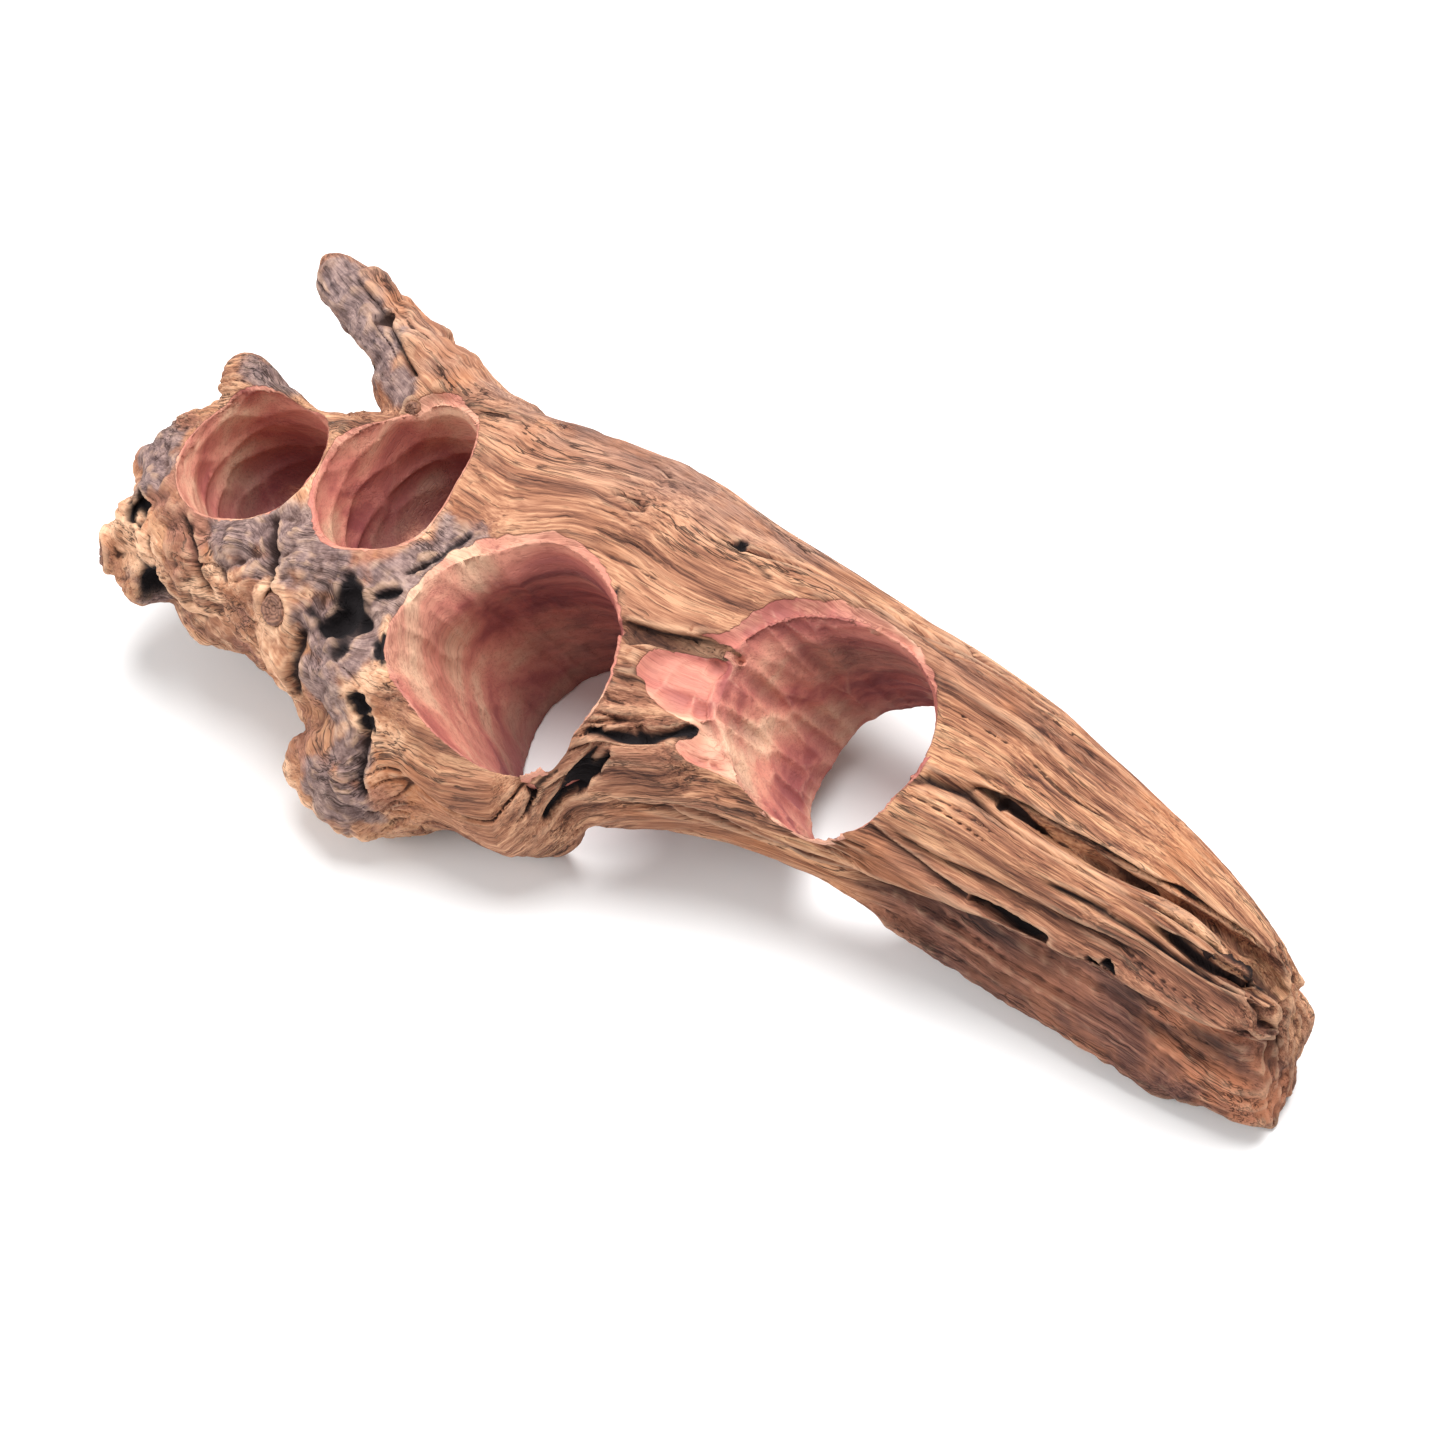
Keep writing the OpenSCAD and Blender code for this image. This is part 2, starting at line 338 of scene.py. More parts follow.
def groove(points, calm, path, front, back, depth, seed):
    """How deep a split goes at each point, steep at its back edge and easy at its front."""
    best, share, offset, way = near_path(points, path)
    sideways = np.cross(way, calm)
    sideways *= np.where(sideways[:, 1] > 0, -1.0, 1.0)[:, None]
    beside = (offset * sideways).sum(1)
    beside = beside + 2.2 * growth(points / (34, 60, 60), seed)
    fall = np.clip(1 - np.abs(beside) / np.where(beside > 0, front, back), 0, 1)
    taper = np.minimum(ease(-0.02, 0.14, share), ease(1.02, 0.9, share))
    return depth * fall**1.15 * taper * ease(front + 10, front + 6, best)


def strokes(turn, down, mean, wide, tall, seed):
    """The scoops left by a gouge, 1 in the middle of each, and the crests between them."""
    cells = max(4, round(mean * 2 * math.pi / wide))
    flat = np.stack([turn * mean / (wide * 1.6), down / (tall * 2.2), np.full(len(turn), seed * 0.37)], 1)
    off_seam = ease(3.1, 2.7, np.abs(turn))
    u = (turn / (2 * math.pi) + 0.5) * cells + 0.35 * growth(flat, seed) * off_seam
    v = down / tall + 0.55 * growth(flat * 0.7, seed + 1) * off_seam
    iu, iv = np.floor(u).astype(int), np.floor(v).astype(int)
    nearest = np.full(len(turn), 9.0)
    second = np.full(len(turn), 9.0)
    for du in (-1, 0, 1):
        for dv in (-1, 0, 1):
            mixed = scatter(np.mod(iu + du, cells), iv + dv, np.full(len(turn), seed), 77)
            cu = iu + du + 0.15 + 0.7 * (mixed & 1023) / 1023
            cv = iv + dv + 0.25 + 0.5 * ((mixed >> 10) & 1023) / 1023
            far = np.hypot(u - cu, v - cv)
            second = np.minimum(second, np.maximum(far, nearest))
            nearest = np.minimum(nearest, far)
    crest = np.exp(-(second - nearest) / 0.22)
    worn = np.clip(0.6 + 0.5 * growth(flat * 1.3, seed + 2), 0.3, 1)
    scoop = 0.62 * (1 - np.clip(nearest**2 / 0.62, 0, 1)) + 0.38 * (1 - crest)
    return scoop * worn, crest**2 * worn


VOXEL = 0.0013
TRIANGLES = 197000
wood = copy_of("driftwood", "driftwood_body")
work_in(wood, "REMESH", mode="VOXEL", voxel_size=VOXEL, use_smooth_shade=True)
body = wood.data
edges = edges_of(body)
points = points_of(body)
out = normals_of(body)

# which surface a gouge has cut, with a ragged lip: its least and most width, and the gouge's bite
lips = {
    "stem": (1.6, 6.0, 1.1),
    "middle": (0.8, 4.0, 0.55),
    "crown": (0.8, 1.5, 0.75),
    "stub": (1.0, 2.5, 0.7),
}
cut = np.zeros(len(points))
hollow_depth_shade = np.zeros(len(points))
far_wall_shade = np.zeros(len(points))
gouge = np.zeros(len(points))
lip = np.zeros(len(points))
ridges = np.zeros(len(points))
for number, (name, hollow) in enumerate(HOLLOWS.items()):
    inside, turn, down, mean = inside_hollow(points + 2.4 * out, hollow)
    least, most, bite = lips[name]
    ragged = least + most * ease(0.1, 1.0, np.cos(turn - 2.0))
    ragged = ragged + (1 + 0.6 * most) * growth(points / 11, 90 + number)
    here = ease(-0.8, 0.8, inside + ragged * ease(0.2, 0.7, out[:, 2])) * ease(45, 30, -down)
    left = ease(0.1, 0.75, -np.cos(turn))
    through = hollow[-1] is THROUGH
    if through:
        upright, upright_crest = strokes(turn, down, mean, 10, 36, 11 + number)
        level, level_crest = strokes(turn, down, mean, 60, 7.5, 21 + number)
        made = left * upright + (1 - left) * level
        crest = left * upright_crest + (1 - left) * level_crest
    else:
        made, crest = strokes(turn, down, mean, 36, 13, 31 + number)
    ridges = np.maximum(ridges, here * crest * bite)
    cut = np.maximum(cut, here)
    gouge = np.maximum(gouge, here * made * bite)
    if through:
        # painted shade on the walls of the through hollows that face away from the key light
        shaded_wall_side = ease(-0.25, 0.75, np.sin(turn) + 0.35 * np.cos(turn))
        far_wall_shade = np.maximum(far_wall_shade, here * shaded_wall_side * ease(-4, 14, down))
    # painted shade, darker the deeper down a hollow
    hollow_depth_shade = np.maximum(hollow_depth_shade, here * np.clip(down / (130 if through else 62), 0, 1))
    over_edge = np.clip(inside + ragged, 0, 9) * ease(1.0, -1.0, inside - 1.5)
    lip = np.maximum(lip, over_edge * ease(0.3, 0.8, out[:, 2]))

# what the first smoothing leaves alone: the gouged walls, the knots and the stem's end
near_knot = np.full(len(points), FAR_OFF)
for place, _, reach in KNOT_SEATS:
    near_knot = np.minimum(near_knot, far_from(points, place) / reach)
stem_end = ease(26, 16, far_from(points, (304, -20, 76)))
hold = np.clip(cut + ease(1.6, 1.1, near_knot) + stem_end, 0, 1)

# the two long splits open little by little from their upper ends
for start, full, across, top, fall in ((124, 205, -7.5, 95.8, 0.0), (222, 282, -30, 87.5, 0.06)):
    closed = ease(start, start + 5, points[:, 0]) * ease(full, start + 20, points[:, 0])
    closed = closed * ease(9, 6.5, np.abs(points[:, 1] - across)) * (points[:, 2] > 70)
    points[:, 2] += closed * np.maximum(top - fall * (points[:, 0] - start) - points[:, 2], 0)

# the worn skin is even before the weather works on it
relax(points, edges, 1 - hold, 48, 0.9)
near_split = np.full(len(points), FAR_OFF)
for path, *_ in LONG_SPLITS:
    near_split = np.minimum(near_split, near_path(points, path)[0])
soften = ease(15, 9, near_split) * (1 - hold)
for place in ((-30, -68, 92), (298, -30, 82)):
    soften = np.maximum(soften, ease(15, 8, far_from(points, place)))
local = edges[(soften[edges] > 0).all(axis=1)]
relax(points, local, soften, 36)
move_points(body, points)
out = normals_of(body)
calm = np.stack([spread(out[:, k], edges, 24) for k in range(3)], 1)
calm /= np.linalg.norm(calm, axis=1)[:, None] + 1e-9

grain, wild = along_grain(points)
tame = 1 - wild
along, aside, upward = grain[:, 0], grain[:, 1], grain[:, 2]
skin = (1 - cut) * ease(0.6, 4.0, points[:, 2])


def fibre(length, width, seed):
    """Random growth drawn out along the grain."""
    return growth(np.stack([along / length, aside / width, upward / width], 1), seed)


# burls and swellings of the crown, and the broad flutes of the stem
rise = wild * (15 * np.abs(growth(points / 40, 11)) - 3.4 + 6 * (np.abs(growth(points / 18, 12)) - 0.22))
rise += (0.3 + 0.7 * tame) * 5.0 * fibre(170, 17, 21)
rise += stub_share(points) * (6 * growth(points / 21, 13) + 3 * growth(points / 9, 14))
rise *= ease(1.0, 2.4, near_knot)
wall = np.full(len(points), FAR_OFF)
for hollow in HOLLOWS.values():
    wall = np.minimum(wall, -inside_hollow(points, hollow)[0])
rise *= 0.15 + 0.85 * ease(0, 12, wall)
points = points + calm * (rise * skin)[:, None]

# the middle hollow's mouth closes in a little on the crown's side
inside, turn, down, mean = inside_hollow(points, HOLLOWS["middle"])
away = np.degrees(np.abs(np.angle(np.exp(1j * (turn - math.radians(150))))))
lean_in = ease(62, 20, away) * ease(48, 4, np.abs(down)) * ease(34, 4, np.abs(inside))
points[:, 0] -= 11 * lean_in * np.cos(turn)
points[:, 1] -= 11 * lean_in * np.sin(turn)

# the stem overhangs a rough red face that has rotted back beneath it
ridge = np.interp(points[:, 0], [110, 136, 223, 296, 310], [66, 69, 71, 70, 66])
below = ridge - points[:, 2]
flank = ease(90, 135, points[:, 0]) * ease(-22, -34, points[:, 1] + 0.06 * (points[:, 0] - 140)) * skin
undercut = 9 * hump(below, 13, 9) * ease(0, 4, below)
points[:, 1] += flank * (undercut + 2.5 * ease(14, 30, below) - 2.5 * hump(below, 0, 4.5))
# the rotted face; the finish darkens it partly as rot and partly as painted shade under the overhang
rot_and_shade = flank * ease(1.5, 5, below)

# splits, rot, and the two scoops taken out between the stem hollow and the middle one
painted_black_shade = np.zeros(len(points))
sink = np.zeros(len(points))
for number, (path, front, back, depth, shade_strength) in enumerate(GROOVES):
    deeper = groove(points, calm, path, front, back, depth, 200 + 2 * number)
    sink = np.maximum(sink, deeper)
    # painted shade: the deepest part of each split is painted black
    painted_black_shade = np.maximum(painted_black_shade, shade_strength * ease(0.6 - 0.35 * shade_strength, 1.0 - 0.4 * shade_strength, deeper / depth))
for number, (place, reach, depth) in enumerate(PITS):
    far = far_from(points, place) / reach + 0.5 * growth(points / (reach * 0.6), 300 + number)
    sink = np.maximum(sink, depth * ease(1.0, 0.35, far))
    # painted shade: each pit is painted black inside
    painted_black_shade = np.maximum(painted_black_shade, ease(1.0, 0.75, far))
sink = np.minimum(sink, np.clip(wall * 0.55, 0, 99))
points = points - calm * (sink * (1 - cut))[:, None]
scooped = np.zeros(len(points))
scoops = (((34, -17, 112), (44, 36, 18)), ((47, -38, 104), (30, 19, 20)))
for place, size in scoops:
    dx, dy = (points[:, 0] - place[0]) / size[0], (points[:, 1] - place[1]) / size[1]
    bowl = place[2] - size[2] * np.sqrt(np.clip(1 - dx * dx - dy * dy, 0, 1))
    lower = (dx * dx + dy * dy < 1) * (points[:, 2] > bowl) * (out[:, 2] > -0.1)
    drop = np.where(lower > 0, points[:, 2] - bowl, 0) * ease(place[2] - 40, place[2] - 30, points[:, 2])
    drop = np.minimum(drop, 16)
    points[:, 2] -= drop
    fresh = ease(0.3, 1.2, drop) * (1 - cut)
    turn = np.arctan2(dy, dx)
    made, crest = strokes(turn, np.hypot(dx, dy) * 30, 16, 14, 11, 51)
    gouge = np.maximum(gouge, fresh * made)
    ridges = np.maximum(ridges, fresh * crest)
    cut = np.maximum(cut, fresh)
    scooped = np.maximum(scooped, ease(0.3, 1.2, drop))
points = points - calm * (lip * 0.4)[:, None]
# painted shade: a patchy black band just under the stem's overhanging ridge
patchy = ease(-0.35, 0.35, growth(points / (26, 9, 9), 83))
painted_black_shade = np.maximum(painted_black_shade, 0.75 * flank * hump(below, 19, 9) * patchy)
move_points(body, points)
out = normals_of(body)

# fibres, hairline splits and the small roughness left by the weather
busy = 0.35 + 0.65 * ease(-0.15, 0.35, growth(points / 60, 27))
fine = (0.3 + 0.7 * tame) * 2.2 * busy * fibre(80, 7, 22)
fine += (0.5 + 0.5 * tame) * 1.2 * busy * fibre(75, 4.2, 23)
fine += 0.45 * fibre(60, 3.0, 24)
fine *= 1 - 0.55 * rot_and_shade
fine += wild * (1.5 * growth(points / 8, 25) + 0.8 * growth(points / 4, 26))
fine += rot_and_shade * (5.5 * np.abs(fibre(90, 12, 28)) - 1.2 + 1.0 * growth(points / 5, 29))
# hairlines: length, spacing, seed, depth, narrowness
hairlines = ((120, 11, 31, 4.0, 0.06), (70, 6, 32, 2.4, 0.07), (90, 8, 33, 2.8, 0.06))
for length, width, seed, depth, narrow in hairlines:
    line = np.abs(fibre(length, width, seed))
    in_places = ease(0.1, 0.4, fibre(70, 25, seed + 5))
    fine -= (0.35 + 0.65 * tame) * (1 - rot_and_shade) * depth * hump(line, 0, narrow) * in_places
# the collar of wood that a living tree grows round a dead branch
fine = fine * ease(1.0, 2.2, near_knot) + 1.6 * hump(near_knot, 1.35, 0.3)
skin = (1 - cut) * ease(0.6, 4.0, points[:, 2])
# the stem's end is torn into splinters, the lower half standing out beyond the upper
torn = ease(286, 304, points[:, 0]) * ease(0.2, 0.7, out[:, 0])
points[:, 0] += torn * (7 * ease(52, 30, points[:, 2]) - 3 * ease(52, 66, points[:, 2]))
splinters = 7 * growth(np.stack([aside / 17, upward / 17, along / 200], 1), 81)
splinters += 5 * growth(np.stack([aside / 6, upward / 6, along / 200], 1), 82)
points[:, 0] += torn * (1 - cut) * splinters
gouge_depth = gouge * 4.8 * ease(0.55, 0.97, spread(cut, edges, 6))
points = points + out * (fine * skin * (0.3 + 0.7 * ease(0, 5, wall)))[:, None] - out * gouge_depth[:, None]
# less painted black shade at the top of the stem's end
painted_black_shade *= 1 - 0.9 * ease(292, 302, points[:, 0]) * ease(70, 76, points[:, 2])
# sharp lips are eased, and the torn end is held within a centimetre
near_lip = spread(cut, edges, 5)
near_lip = 4 * near_lip * (1 - near_lip)
rim = spread(scooped, edges, 8)
near_lip = np.clip(np.maximum(near_lip, 4 * rim * (1 - rim)), 0, 1)
local = edges[(near_lip[edges] > 0.01).any(axis=1)]
relax(points, local, near_lip, 16)
points[:, 2] = np.maximum(points[:, 2], 0)
end_at, end_room = 305, 10
past = points[:, 0] - end_at
points[:, 0] = np.where(past > 0, end_at + end_room * (1 - np.exp(-past / end_room)), points[:, 0])
move_points(body, points)

# how far each place sits in a hollow of the surface, narrow and broad, for the painted shade in the dips
even = points.copy()
out = normals_of(body)
for k in range(3):
    even[:, k] = spread(points[:, k], edges, 10)
sunk = ((even - points) * out).sum(1)
for k in range(3):
    even[:, k] = spread(even[:, k], edges, 60)
broad = ((even - points) * out).sum(1)
grey = np.zeros(len(points))
for place, reach in GREYED:
    far = far_from(points, place) / reach + 0.5 * growth(points / 12, 71) + 0.3 * growth(points / 5, 72)
    grey = np.maximum(grey, ease(1.15, 0.75, far))
fields = {
    "grain": grain,
    "cut": cut,
    "hollow_depth_shade": hollow_depth_shade,
    "far_wall_shade": far_wall_shade,
    "gouge": gouge,
    "ridges": ridges,
    "wild": wild,
    "sunk": sunk,
    "broad": broad,
    "painted_black_shade": painted_black_shade,
    "grey": grey,
    "rot_and_shade": rot_and_shade,
    # faces that turn down, for the painted shade of the underside
    "under": ease(0.0, -0.7, calm[:, 2]),
    "blush": cut * (1 - scooped) * ease(0.35, 0.75, calm[:, 2]),
}
for name, field in fields.items():
    store(body, name, field)

# fewer triangles, none of them under the floor
work_in(wood, "DECIMATE", ratio=min(1.0, TRIANGLES / (2 * len(body.polygons))))
body = wood.data
rest = points_of(body)
rest[:, 2] = np.maximum(rest[:, 2], 0.02)
move_points(body, rest)
for face in body.polygons:
    face.use_smooth = True

# --- The driftwood: its finish -------------------------------------------------------------
# Raw wood with no oil or varnish: sun-bleached tan on the outside, greyed in places, with painted shade
# in its dips, splits and holes, and salmon pink where the hollows have been cut fresh.


def new_group(name, inputs, outputs):
    group = bpy.data.node_groups.new(name, "ShaderNodeTree")
    for label, kind, value in inputs:
        socket = group.interface.new_socket(name=label, in_out="INPUT", socket_type=kind)
        if value is not None:
            socket.default_value = value
    for label, kind in outputs:
        group.interface.new_socket(name=label, in_out="OUTPUT", socket_type=kind)
    return group, group.nodes.new("NodeGroupInput"), group.nodes.new("NodeGroupOutput")


class Bench:
    """Short ways to lay down nodes in one tree."""

    def __init__(self, tree):
        self.tree = tree

    def node(self, kind, **settings):
        made = self.tree.nodes.new(kind)
        for setting, value in settings.items():
            setattr(made, setting, value)
        return made

    def join(self, source, target):
        self.tree.links.new(source, target)

    def put(self, socket, value):
        if isinstance(value, bpy.types.NodeSocket):
            self.join(value, socket)
        else:
            socket.default_value = value

    def math(self, operation, first, second=0.0):
        made = self.node("ShaderNodeMath", operation=operation)
        self.put(made.inputs[0], first)
        self.put(made.inputs[1], second)
        return made.outputs[0]

    def times(self, first, second):
        return self.math("MULTIPLY", first, second)

    def scaled(self, vector, scale):
        made = self.node("ShaderNodeVectorMath", operation="MULTIPLY")
        self.put(made.inputs[0], vector)
        made.inputs[1].default_value = scale
        return made.outputs[0]

    def noise(self, vector, scale=1.0, detail=3.0, rough=0.55, warp=0.0):
        made = self.node("ShaderNodeTexNoise")
        self.put(made.inputs["Vector"], vector)
        made.inputs["Scale"].default_value = scale
        made.inputs["Detail"].default_value = detail
        made.inputs["Roughness"].default_value = rough
        made.inputs["Distortion"].default_value = warp
        return made.outputs["Fac"]

    def span(self, value, low, high, to_low=0.0, to_high=1.0):
        made = self.node("ShaderNodeMapRange", interpolation_type="SMOOTHSTEP")
        self.put(made.inputs["Value"], value)
        made.inputs["From Min"].default_value = low
        made.inputs["From Max"].default_value = high
        made.inputs["To Min"].default_value = to_low
        made.inputs["To Max"].default_value = to_high
        return made.outputs["Result"]

    def mix(self, share, first, second):
        made = self.node("ShaderNodeMix", data_type="RGBA")
        # its sockets for colours are the seventh and the eighth, and the third that comes out
        self.put(made.inputs[0], share)
        self.put(made.inputs[6], first)
        self.put(made.inputs[7], second)
        return made.outputs[2]

    def ramp(self, value, stops):
        made = self.node("ShaderNodeValToRGB")
        self.put(made.inputs["Fac"], value)
        band = made.color_ramp
        while len(band.elements) < len(stops):
            band.elements.new(0.5)
        for element, (place, colour) in zip(band.elements, stops):
            element.position = place
            element.color = (*colour, 1)
        return made.outputs["Color"]

    def attribute(self, name):
        made = self.node("ShaderNodeAttribute", attribute_name=name)
        return made.outputs["Vector"] if name == "grain" else made.outputs["Fac"]

    def relief(self, shader, height, strength, distance):
        """Fine unevenness that the light shows but the mesh doesn't have."""
        made = self.node("ShaderNodeBump")
        made.inputs["Strength"].default_value = strength
        made.inputs["Distance"].default_value = distance
        self.join(height, made.inputs["Height"])
        self.join(made.outputs["Normal"], shader.inputs["Normal"])


# Grain in millimetres along and across the fibres, shared by the wood and its knots
grain_group, given, result = new_group(
    "wood_grain",
    [("Grain", "NodeSocketVector", None)],
    [
        ("Streak", "NodeSocketFloat"),
        ("Fibre", "NodeSocketFloat"),
        ("Split", "NodeSocketFloat"),
        ("Height", "NodeSocketFloat"),
    ],
)
nodes = Bench(grain_group)
grain_in = given.outputs["Grain"]
streak = nodes.noise(nodes.scaled(grain_in, (0.011, 0.12, 0.12)), 1.0, 4.0, 0.6)
fine = nodes.noise(nodes.scaled(grain_in, (0.026, 0.8, 0.8)), 1.0, 3.0, 0.6)
hair = nodes.noise(nodes.scaled(grain_in, (0.045, 2.0, 2.0)), 1.0, 2.0, 0.6)
pores = nodes.noise(nodes.scaled(grain_in, (0.045, 1.1, 1.1)), 1.0, 1.0, 0.5)
pores = nodes.span(pores, 0.62, 0.70)
line = nodes.noise(nodes.scaled(grain_in, (0.02, 0.3, 0.3)), 1.0, 3.0, 0.6)
line = nodes.math("ABSOLUTE", nodes.math("SUBTRACT", line, 0.5))
where = nodes.noise(nodes.scaled(grain_in, (0.012, 0.06, 0.06)), 1.0, 2.0)
split = nodes.times(nodes.span(line, 0.0, 0.035, 1.0, 0.0), nodes.span(where, 0.48, 0.62))
split = nodes.math("MAXIMUM", split, nodes.times(pores, 0.5))
fibres = nodes.math("ADD", nodes.times(fine, 0.55), nodes.times(hair, 0.45))
height = nodes.math("SUBTRACT", fibres, nodes.times(split, 0.8))
for label, value in (("Streak", streak), ("Fibre", fibres), ("Split", split), ("Height", height)):
    nodes.join(value, result.inputs[label])


def new_finish(name):
    """A material, a bench for its nodes, its shader and what the shared grain gives it."""
    made = bpy.data.materials.new(name)
    made.use_nodes = True
    made.node_tree.nodes.clear()
    bench = Bench(made.node_tree)
    surface = bench.node("ShaderNodeBsdfPrincipled")
    bench.join(surface.outputs[0], bench.node("ShaderNodeOutputMaterial").inputs["Surface"])
    shared = bench.node("ShaderNodeGroup", node_tree=grain_group)
    bench.join(bench.attribute("grain"), shared.inputs["Grain"])
    return made, bench, surface, shared.outputs


finish, nodes, shader, grown = new_finish("weathered_driftwood")
place = nodes.node("ShaderNodeTexCoord").outputs["Object"]
parted = nodes.node("ShaderNodeSeparateXYZ")
nodes.join(place, parted.inputs[0])
lengthways, crossways = parted.outputs["X"], parted.outputs["Y"]
wildness = nodes.attribute("wild")
rot_and_shade_share = nodes.attribute("rot_and_shade")
fresh_cut = nodes.attribute("cut")

# the tone follows the grain, calmer where it runs wild; the mottle is rounder
tone = nodes.math("ADD", nodes.times(grown["Streak"], 0.48), nodes.times(grown["Fibre"], 0.50))
calmer = nodes.span(wildness, 0.2, 0.9, 1.0, 0.45)
tone = nodes.math("ADD", nodes.times(nodes.math("SUBTRACT", tone, 0.5), calmer), 0.5)
pebbled = nodes.noise(place, 170.0, 3.0, 0.65)
mottle = nodes.math("ADD", nodes.times(grown["Fibre"], 0.45), nodes.times(pebbled, 0.55))
patch = nodes.noise(nodes.scaled(nodes.attribute("grain"), (0.006, 0.04, 0.04)), 1.0, 3.0, 0.6, 0.4)
rust = nodes.span(nodes.noise(place, 14.0, 3.0), 0.50, 0.68)
blotch = nodes.noise(place, 30.0, 4.0, 0.6)

# Weathered wood: each coat is how much of it shows, then its colour or what its colour follows
# and the colours at points along that
bare = nodes.ramp(tone, [
    (0.37, (0.080, 0.031, 0.022)),
    (0.44, (0.25, 0.100, 0.058)),
    (0.50, (0.45, 0.206, 0.112)),
    (0.59, (0.73, 0.41, 0.230)),
])
coats = [
    # long darker patches
    (
        nodes.span(patch, 0.49, 0.62, 0.0, 0.7),
        (tone, [(0.38, (0.055, 0.023, 0.017)), (0.50, (0.24, 0.096, 0.060)), (0.60, (0.48, 0.225, 0.14))]),
    ),
    # browner toward the crown
    (
        nodes.times(nodes.span(lengthways, 0.09, 0.02, 0.0, 0.55), nodes.span(wildness, 0.1, 0.6, 1.0, 0.0)),
        (tone, [(0.38, (0.060, 0.026, 0.019)), (0.50, (0.29, 0.122, 0.074)), (0.60, (0.56, 0.28, 0.175))]),
    ),
    # painted shade along the stem's front, the side turned away from the key light
    (
        nodes.times(nodes.span(crossways, -0.022, -0.046, 0.0, 0.85), nodes.span(lengthways, 0.09, 0.15)),
        (tone, [(0.38, (0.050, 0.021, 0.015)), (0.50, (0.25, 0.10, 0.060)), (0.60, (0.52, 0.245, 0.14))]),
    ),
    # paler and greyer toward the back
    (
        nodes.times(
            nodes.span(crossways, 0.030, 0.085, 0.0, 0.6),
            nodes.span(nodes.noise(place, 26.0, 4.0, 0.6), 0.38, 0.60),
        ),
        (tone, [(0.38, (0.12, 0.065, 0.052)), (0.58, (0.50, 0.31, 0.24))]),
    ),
    # rust stains
    (nodes.times(rust, 0.4), (0.52, 0.19, 0.075, 1)),
    # dark and pale blotches on the wild wood of the crown
    (
        nodes.times(nodes.span(blotch, 0.52, 0.62), nodes.span(wildness, 0.2, 0.8, 0.0, 0.7)),
        (mottle, [(0.38, (0.13, 0.050, 0.038)), (0.6, (0.44, 0.20, 0.14))]),
    ),
    (
        nodes.times(nodes.span(blotch, 0.52, 0.42), nodes.span(wildness, 0.2, 0.8, 0.0, 0.85)),
        (mottle, [(0.38, (0.50, 0.235, 0.13)), (0.56, (0.90, 0.56, 0.36))]),
    ),
    # the rotted face, darkened partly for its rot and partly as painted shade beneath the overhang, and the
    # rust on it toward the stem's end
    (
        nodes.times(rot_and_shade_share, 0.8),
        (tone, [(0.40, (0.06, 0.025, 0.022)), (0.50, (0.14, 0.060, 0.048)), (0.60, (0.32, 0.130, 0.094))]),
    ),
    (
        nodes.times(rot_and_shade_share, nodes.times(
            nodes.span(nodes.noise(place, 22.0, 4.0, 0.6), 0.42, 0.62),
            nodes.span(lengthways, 0.18, 0.28, 0.15, 0.85),
        )),
        (0.62, 0.24, 0.125, 1),
    ),
    # painted shade on the underside, where the surface faces down
    (
        nodes.times(
            nodes.attribute("under"),
            nodes.span(nodes.noise(place, 20.0, 3.0), 0.35, 0.65, 0.35, 0.8),
        ),
        (tone, [(0.40, (0.07, 0.030, 0.022)), (0.58, (0.34, 0.17, 0.11))]),
    ),
    # greyed patches
    (
        nodes.times(nodes.attribute("grey"), 0.85),
        (mottle, [(0.35, (0.045, 0.032, 0.035)), (0.47, (0.16, 0.112, 0.112)), (0.63, (0.40, 0.285, 0.262))]),
    ),
    # hairline splits, painted shade in the narrow and the broad dips, and paler high places
    (nodes.times(grown["Split"], 0.85), (0.035, 0.018, 0.015, 1)),
    (nodes.span(nodes.attribute("sunk"), 0.15, 1.1, 0.0, 0.85), (0.05, 0.022, 0.017, 1)),
    (nodes.span(nodes.attribute("broad"), 0.8, 5.0, 0.0, 0.6), (0.07, 0.03, 0.022, 1)),
    (nodes.span(nodes.attribute("sunk"), -0.1, -0.9, 0.0, 0.35), (0.80, 0.50, 0.32, 1)),
    # painted black shade in the splits, the pits and under the stem's ridge
    (nodes.attribute("painted_black_shade"), (0.010, 0.007, 0.008, 1)),
]
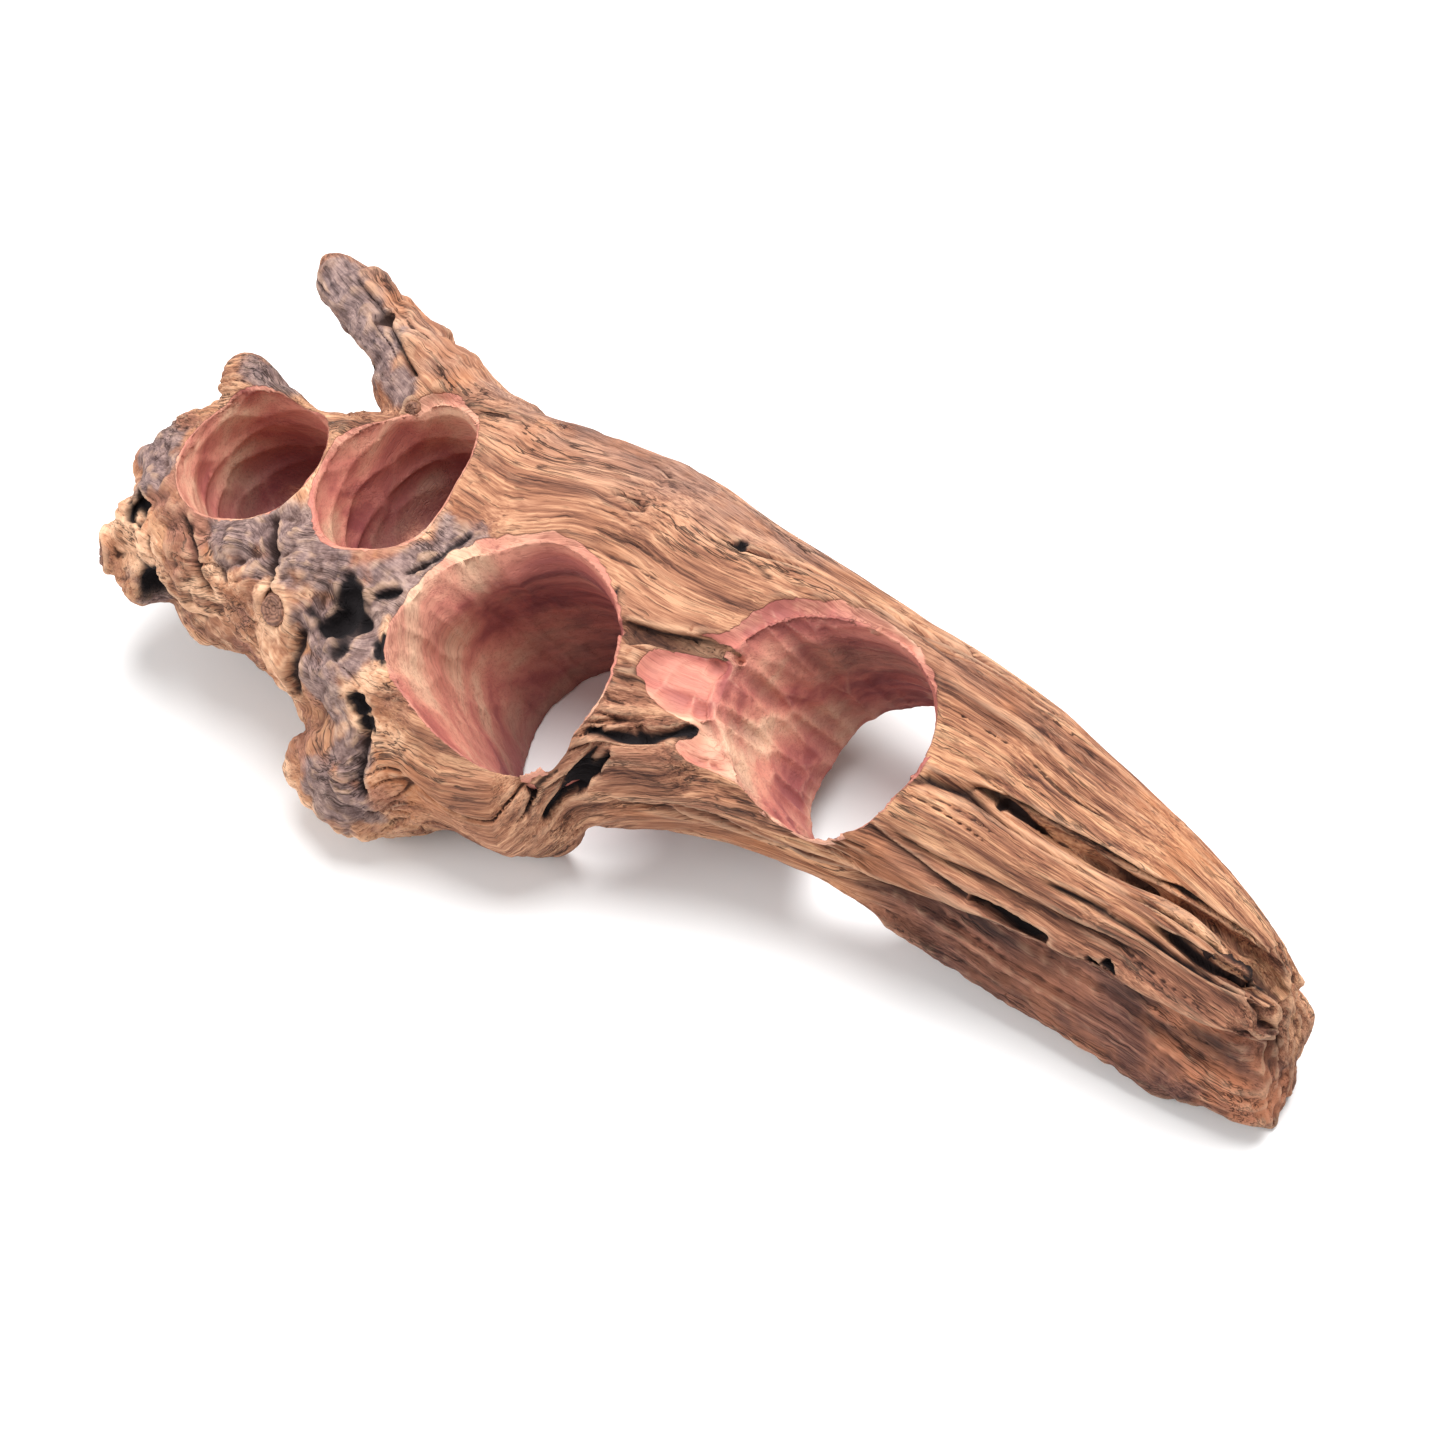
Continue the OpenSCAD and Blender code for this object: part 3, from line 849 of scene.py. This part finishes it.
# Fresh wood in the hollows, laid on in the same way
band = nodes.noise(nodes.scaled(nodes.attribute("grain"), (0.006, 0.035, 0.035)), 1.0, 3.5, 0.55, 0.1)
pink = nodes.ramp(band, [
    (0.37, (0.35, 0.095, 0.085)),
    (0.45, (0.57, 0.195, 0.150)),
    (0.53, (0.70, 0.305, 0.215)),
    (0.63, (0.80, 0.50, 0.335)),
])
fresh_coats = [
    # darker fibres, then painted shade deeper down in the hollows and on the walls turned away from the key
    # light
    (nodes.times(nodes.span(grown["Fibre"], 0.52, 0.40), 0.28), (0.24, 0.07, 0.06, 1)),
    (nodes.span(nodes.attribute("hollow_depth_shade"), 0.2, 1.0, 0.0, 0.82), (0.11, 0.026, 0.038, 1)),
    (
        # painted shade on the hollow walls turned away from the key light
        nodes.times(nodes.attribute("far_wall_shade"), 0.8),
        (grown["Streak"], [(0.4, (0.14, 0.032, 0.043)), (0.62, (0.40, 0.125, 0.108))]),
    ),
    # painted shade in the gouge's scoops and painted highlight on the crests between them
    (nodes.span(nodes.attribute("gouge"), 0.35, 0.85, 0.0, 0.42), (0.28, 0.085, 0.085, 1)),
    (nodes.span(nodes.attribute("ridges"), 0.25, 0.9, 0.0, 0.28), (0.86, 0.52, 0.38, 1)),
    # the lips, already browned by the sun
    (
        nodes.times(
            nodes.attribute("blush"),
            nodes.span(nodes.noise(place, 45.0, 3.0, 0.6), 0.42, 0.60, 0.15, 0.85),
        ),
        (grown["Fibre"], [(0.38, (0.26, 0.088, 0.062)), (0.60, (0.58, 0.27, 0.185))]),
    ),
]
for share, colour in coats:
    bare = nodes.mix(share, bare, colour if len(colour) == 4 else nodes.ramp(*colour))
for share, colour in fresh_coats:
    pink = nodes.mix(share, pink, colour if len(colour) == 4 else nodes.ramp(*colour))
colour = nodes.mix(nodes.span(fresh_cut, 0.35, 0.65), bare, pink)
nodes.join(colour, shader.inputs["Base Color"])
nodes.join(nodes.span(fresh_cut, 0.35, 0.65, 0.9, 0.6), shader.inputs["Roughness"])
shader.inputs["Specular IOR Level"].default_value = 0.25
skin = nodes.times(nodes.times(pebbled, wildness), 0.8)
skin = nodes.math("ADD", nodes.times(grown["Height"], calmer), skin)
nodes.relief(shader, nodes.times(skin, nodes.span(fresh_cut, 0.35, 0.65, 1.0, 0.25)), 0.9, 0.0014)
body.materials.append(finish)
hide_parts("driftwood")
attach(wood, "root")

# --- The encased knots ---------------------------------------------------------------------
# Stubs of branches that died while the tree grew on round them: hard dark plugs, held in the
# wood by nothing but their fit, with their end grain worn flush.

knot_finish, nodes, shader, grown = new_finish("knot_end_grain")
tone = nodes.ramp(nodes.attribute("ring"), [
    (0.1, (0.16, 0.07, 0.045)),
    (0.6, (0.27, 0.125, 0.08)),
    (0.9, (0.34, 0.165, 0.10)),
])
colour = nodes.mix(nodes.times(grown["Fibre"], 0.5), tone, (0.12, 0.055, 0.04, 1))
nodes.join(colour, shader.inputs["Base Color"])
shader.inputs["Roughness"].default_value = 0.75
nodes.relief(shader, grown["Height"], 0.5, 0.0006)

# Each knot's voxel, in the order of their seats
KNOT_VOXELS = {"flank_knot": 0.0005, "rim_knot": 0.0003, "lobe_knot": 0.0004}
for (node, voxel), (place, direction, reach) in zip(KNOT_VOXELS.items(), KNOT_SEATS):
    knot = copy_of(node, node + "_worn")
    work_in(knot, "REMESH", mode="VOXEL", voxel_size=voxel, use_smooth_shade=True)
    points = points_of(knot.data)
    axis = np.array(direction, float)
    axis /= np.linalg.norm(axis)
    off = points - np.array(place, float)
    along = off @ axis
    around = off - along[:, None] * axis
    far = np.linalg.norm(around, axis=1)
    # wavering growth rings, and cracks that open from the middle of a slightly dished end
    wobble = far + 0.22 * reach * growth(points / (reach * 0.8), 61)
    wobble = wobble + 0.05 * reach * growth(points / (reach * 0.2), 63)
    ring = 0.5 + 0.5 * np.cos(wobble * 2 * math.pi / (reach * 0.24))
    end = ease(-2.0, 0.5, along)
    star = np.abs(growth(around / (far[:, None] + 1.0) * 2.2, 62))
    cracks = 0.9 * ease(0.10, 0.0, star) * ease(0.05, 0.3, far / reach)
    dish = -0.22 * reach * ease(0.9, 0.0, far / reach)
    points = points + axis * (end * (0.16 * ring + dish - cracks))[:, None]
    points = points - around * 0.02
    move_points(knot.data, points)
    store(knot.data, "ring", ring)
    store(knot.data, "grain", np.stack([along * 3, points[:, 0], points[:, 1]], 1))
    knot.data.materials.append(knot_finish)
    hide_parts(node)
    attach(knot, "root")

# --- The table, the light and the camera ---------------------------------------------------
# A plain white sheet under the wood, a large soft light high at the back, a weaker one low at
# the front left, and an even white sky. The camera is long, above the front right, and rolled.

SHEET_REACH = 20.0
sheet = bmesh.new()
bmesh.ops.create_grid(sheet, x_segments=1, y_segments=1, size=SHEET_REACH)
ground = bpy.data.meshes.new("ground")
sheet.to_mesh(ground)
sheet.free()
ground = bpy.data.objects.new("ground", ground)
bpy.context.scene.collection.objects.link(ground)
white = bpy.data.materials.new("white_sheet")
white.use_nodes = True
paper = white.node_tree.nodes["Principled BSDF"]
paper.inputs["Base Color"].default_value = (0.9, 0.9, 0.9, 1)
paper.inputs["Roughness"].default_value = 0.9
ground.data.materials.append(white)

aim = Vector((0.0198, -0.0091, 0.055))


SOFTNESS = math.radians(40)


def lamp(name, from_where, strength):
    light = bpy.data.lights.new(name, "SUN")
    light.angle = SOFTNESS
    light.energy = strength
    holder = bpy.data.objects.new(name, light)
    bpy.context.scene.collection.objects.link(holder)
    holder.location = aim + Vector(from_where)
    holder.rotation_euler = (holder.location - aim).to_track_quat("Z", "Y").to_euler()


lamp("key_light", (0.12, 0.50, 1.0), 4.3)
lamp("fill_light", (-0.80, -0.60, 0.60), 1.5)
sky = bpy.data.worlds.new("studio")
bpy.context.scene.world = sky
sky.use_nodes = True
backdrop = sky.node_tree.nodes["Background"]
backdrop.inputs["Color"].default_value = (1, 1, 1, 1)
backdrop.inputs["Strength"].default_value = 0.52
bpy.context.scene.view_settings.view_transform = "Standard"

azimuth, elevation, roll = math.radians(54), math.radians(56), math.radians(-25)
distance = 1.65
behind = Vector((
    math.sin(azimuth) * math.cos(elevation),
    -math.cos(azimuth) * math.cos(elevation),
    math.sin(elevation),
))
level = Vector((math.cos(azimuth), math.sin(azimuth), 0))
above = behind.cross(level)
right = level * math.cos(roll) + above * math.sin(roll)
up = above * math.cos(roll) - level * math.sin(roll)
lens = bpy.data.cameras.new("camera")
lens.lens = 92
lens.sensor_width = 36
camera = bpy.data.objects.new("camera", lens)
bpy.context.scene.collection.objects.link(camera)
turn = Matrix((right, up, behind)).transposed().to_4x4()
turn.translation = aim + behind * distance
camera.matrix_world = turn
bpy.context.scene.camera = camera
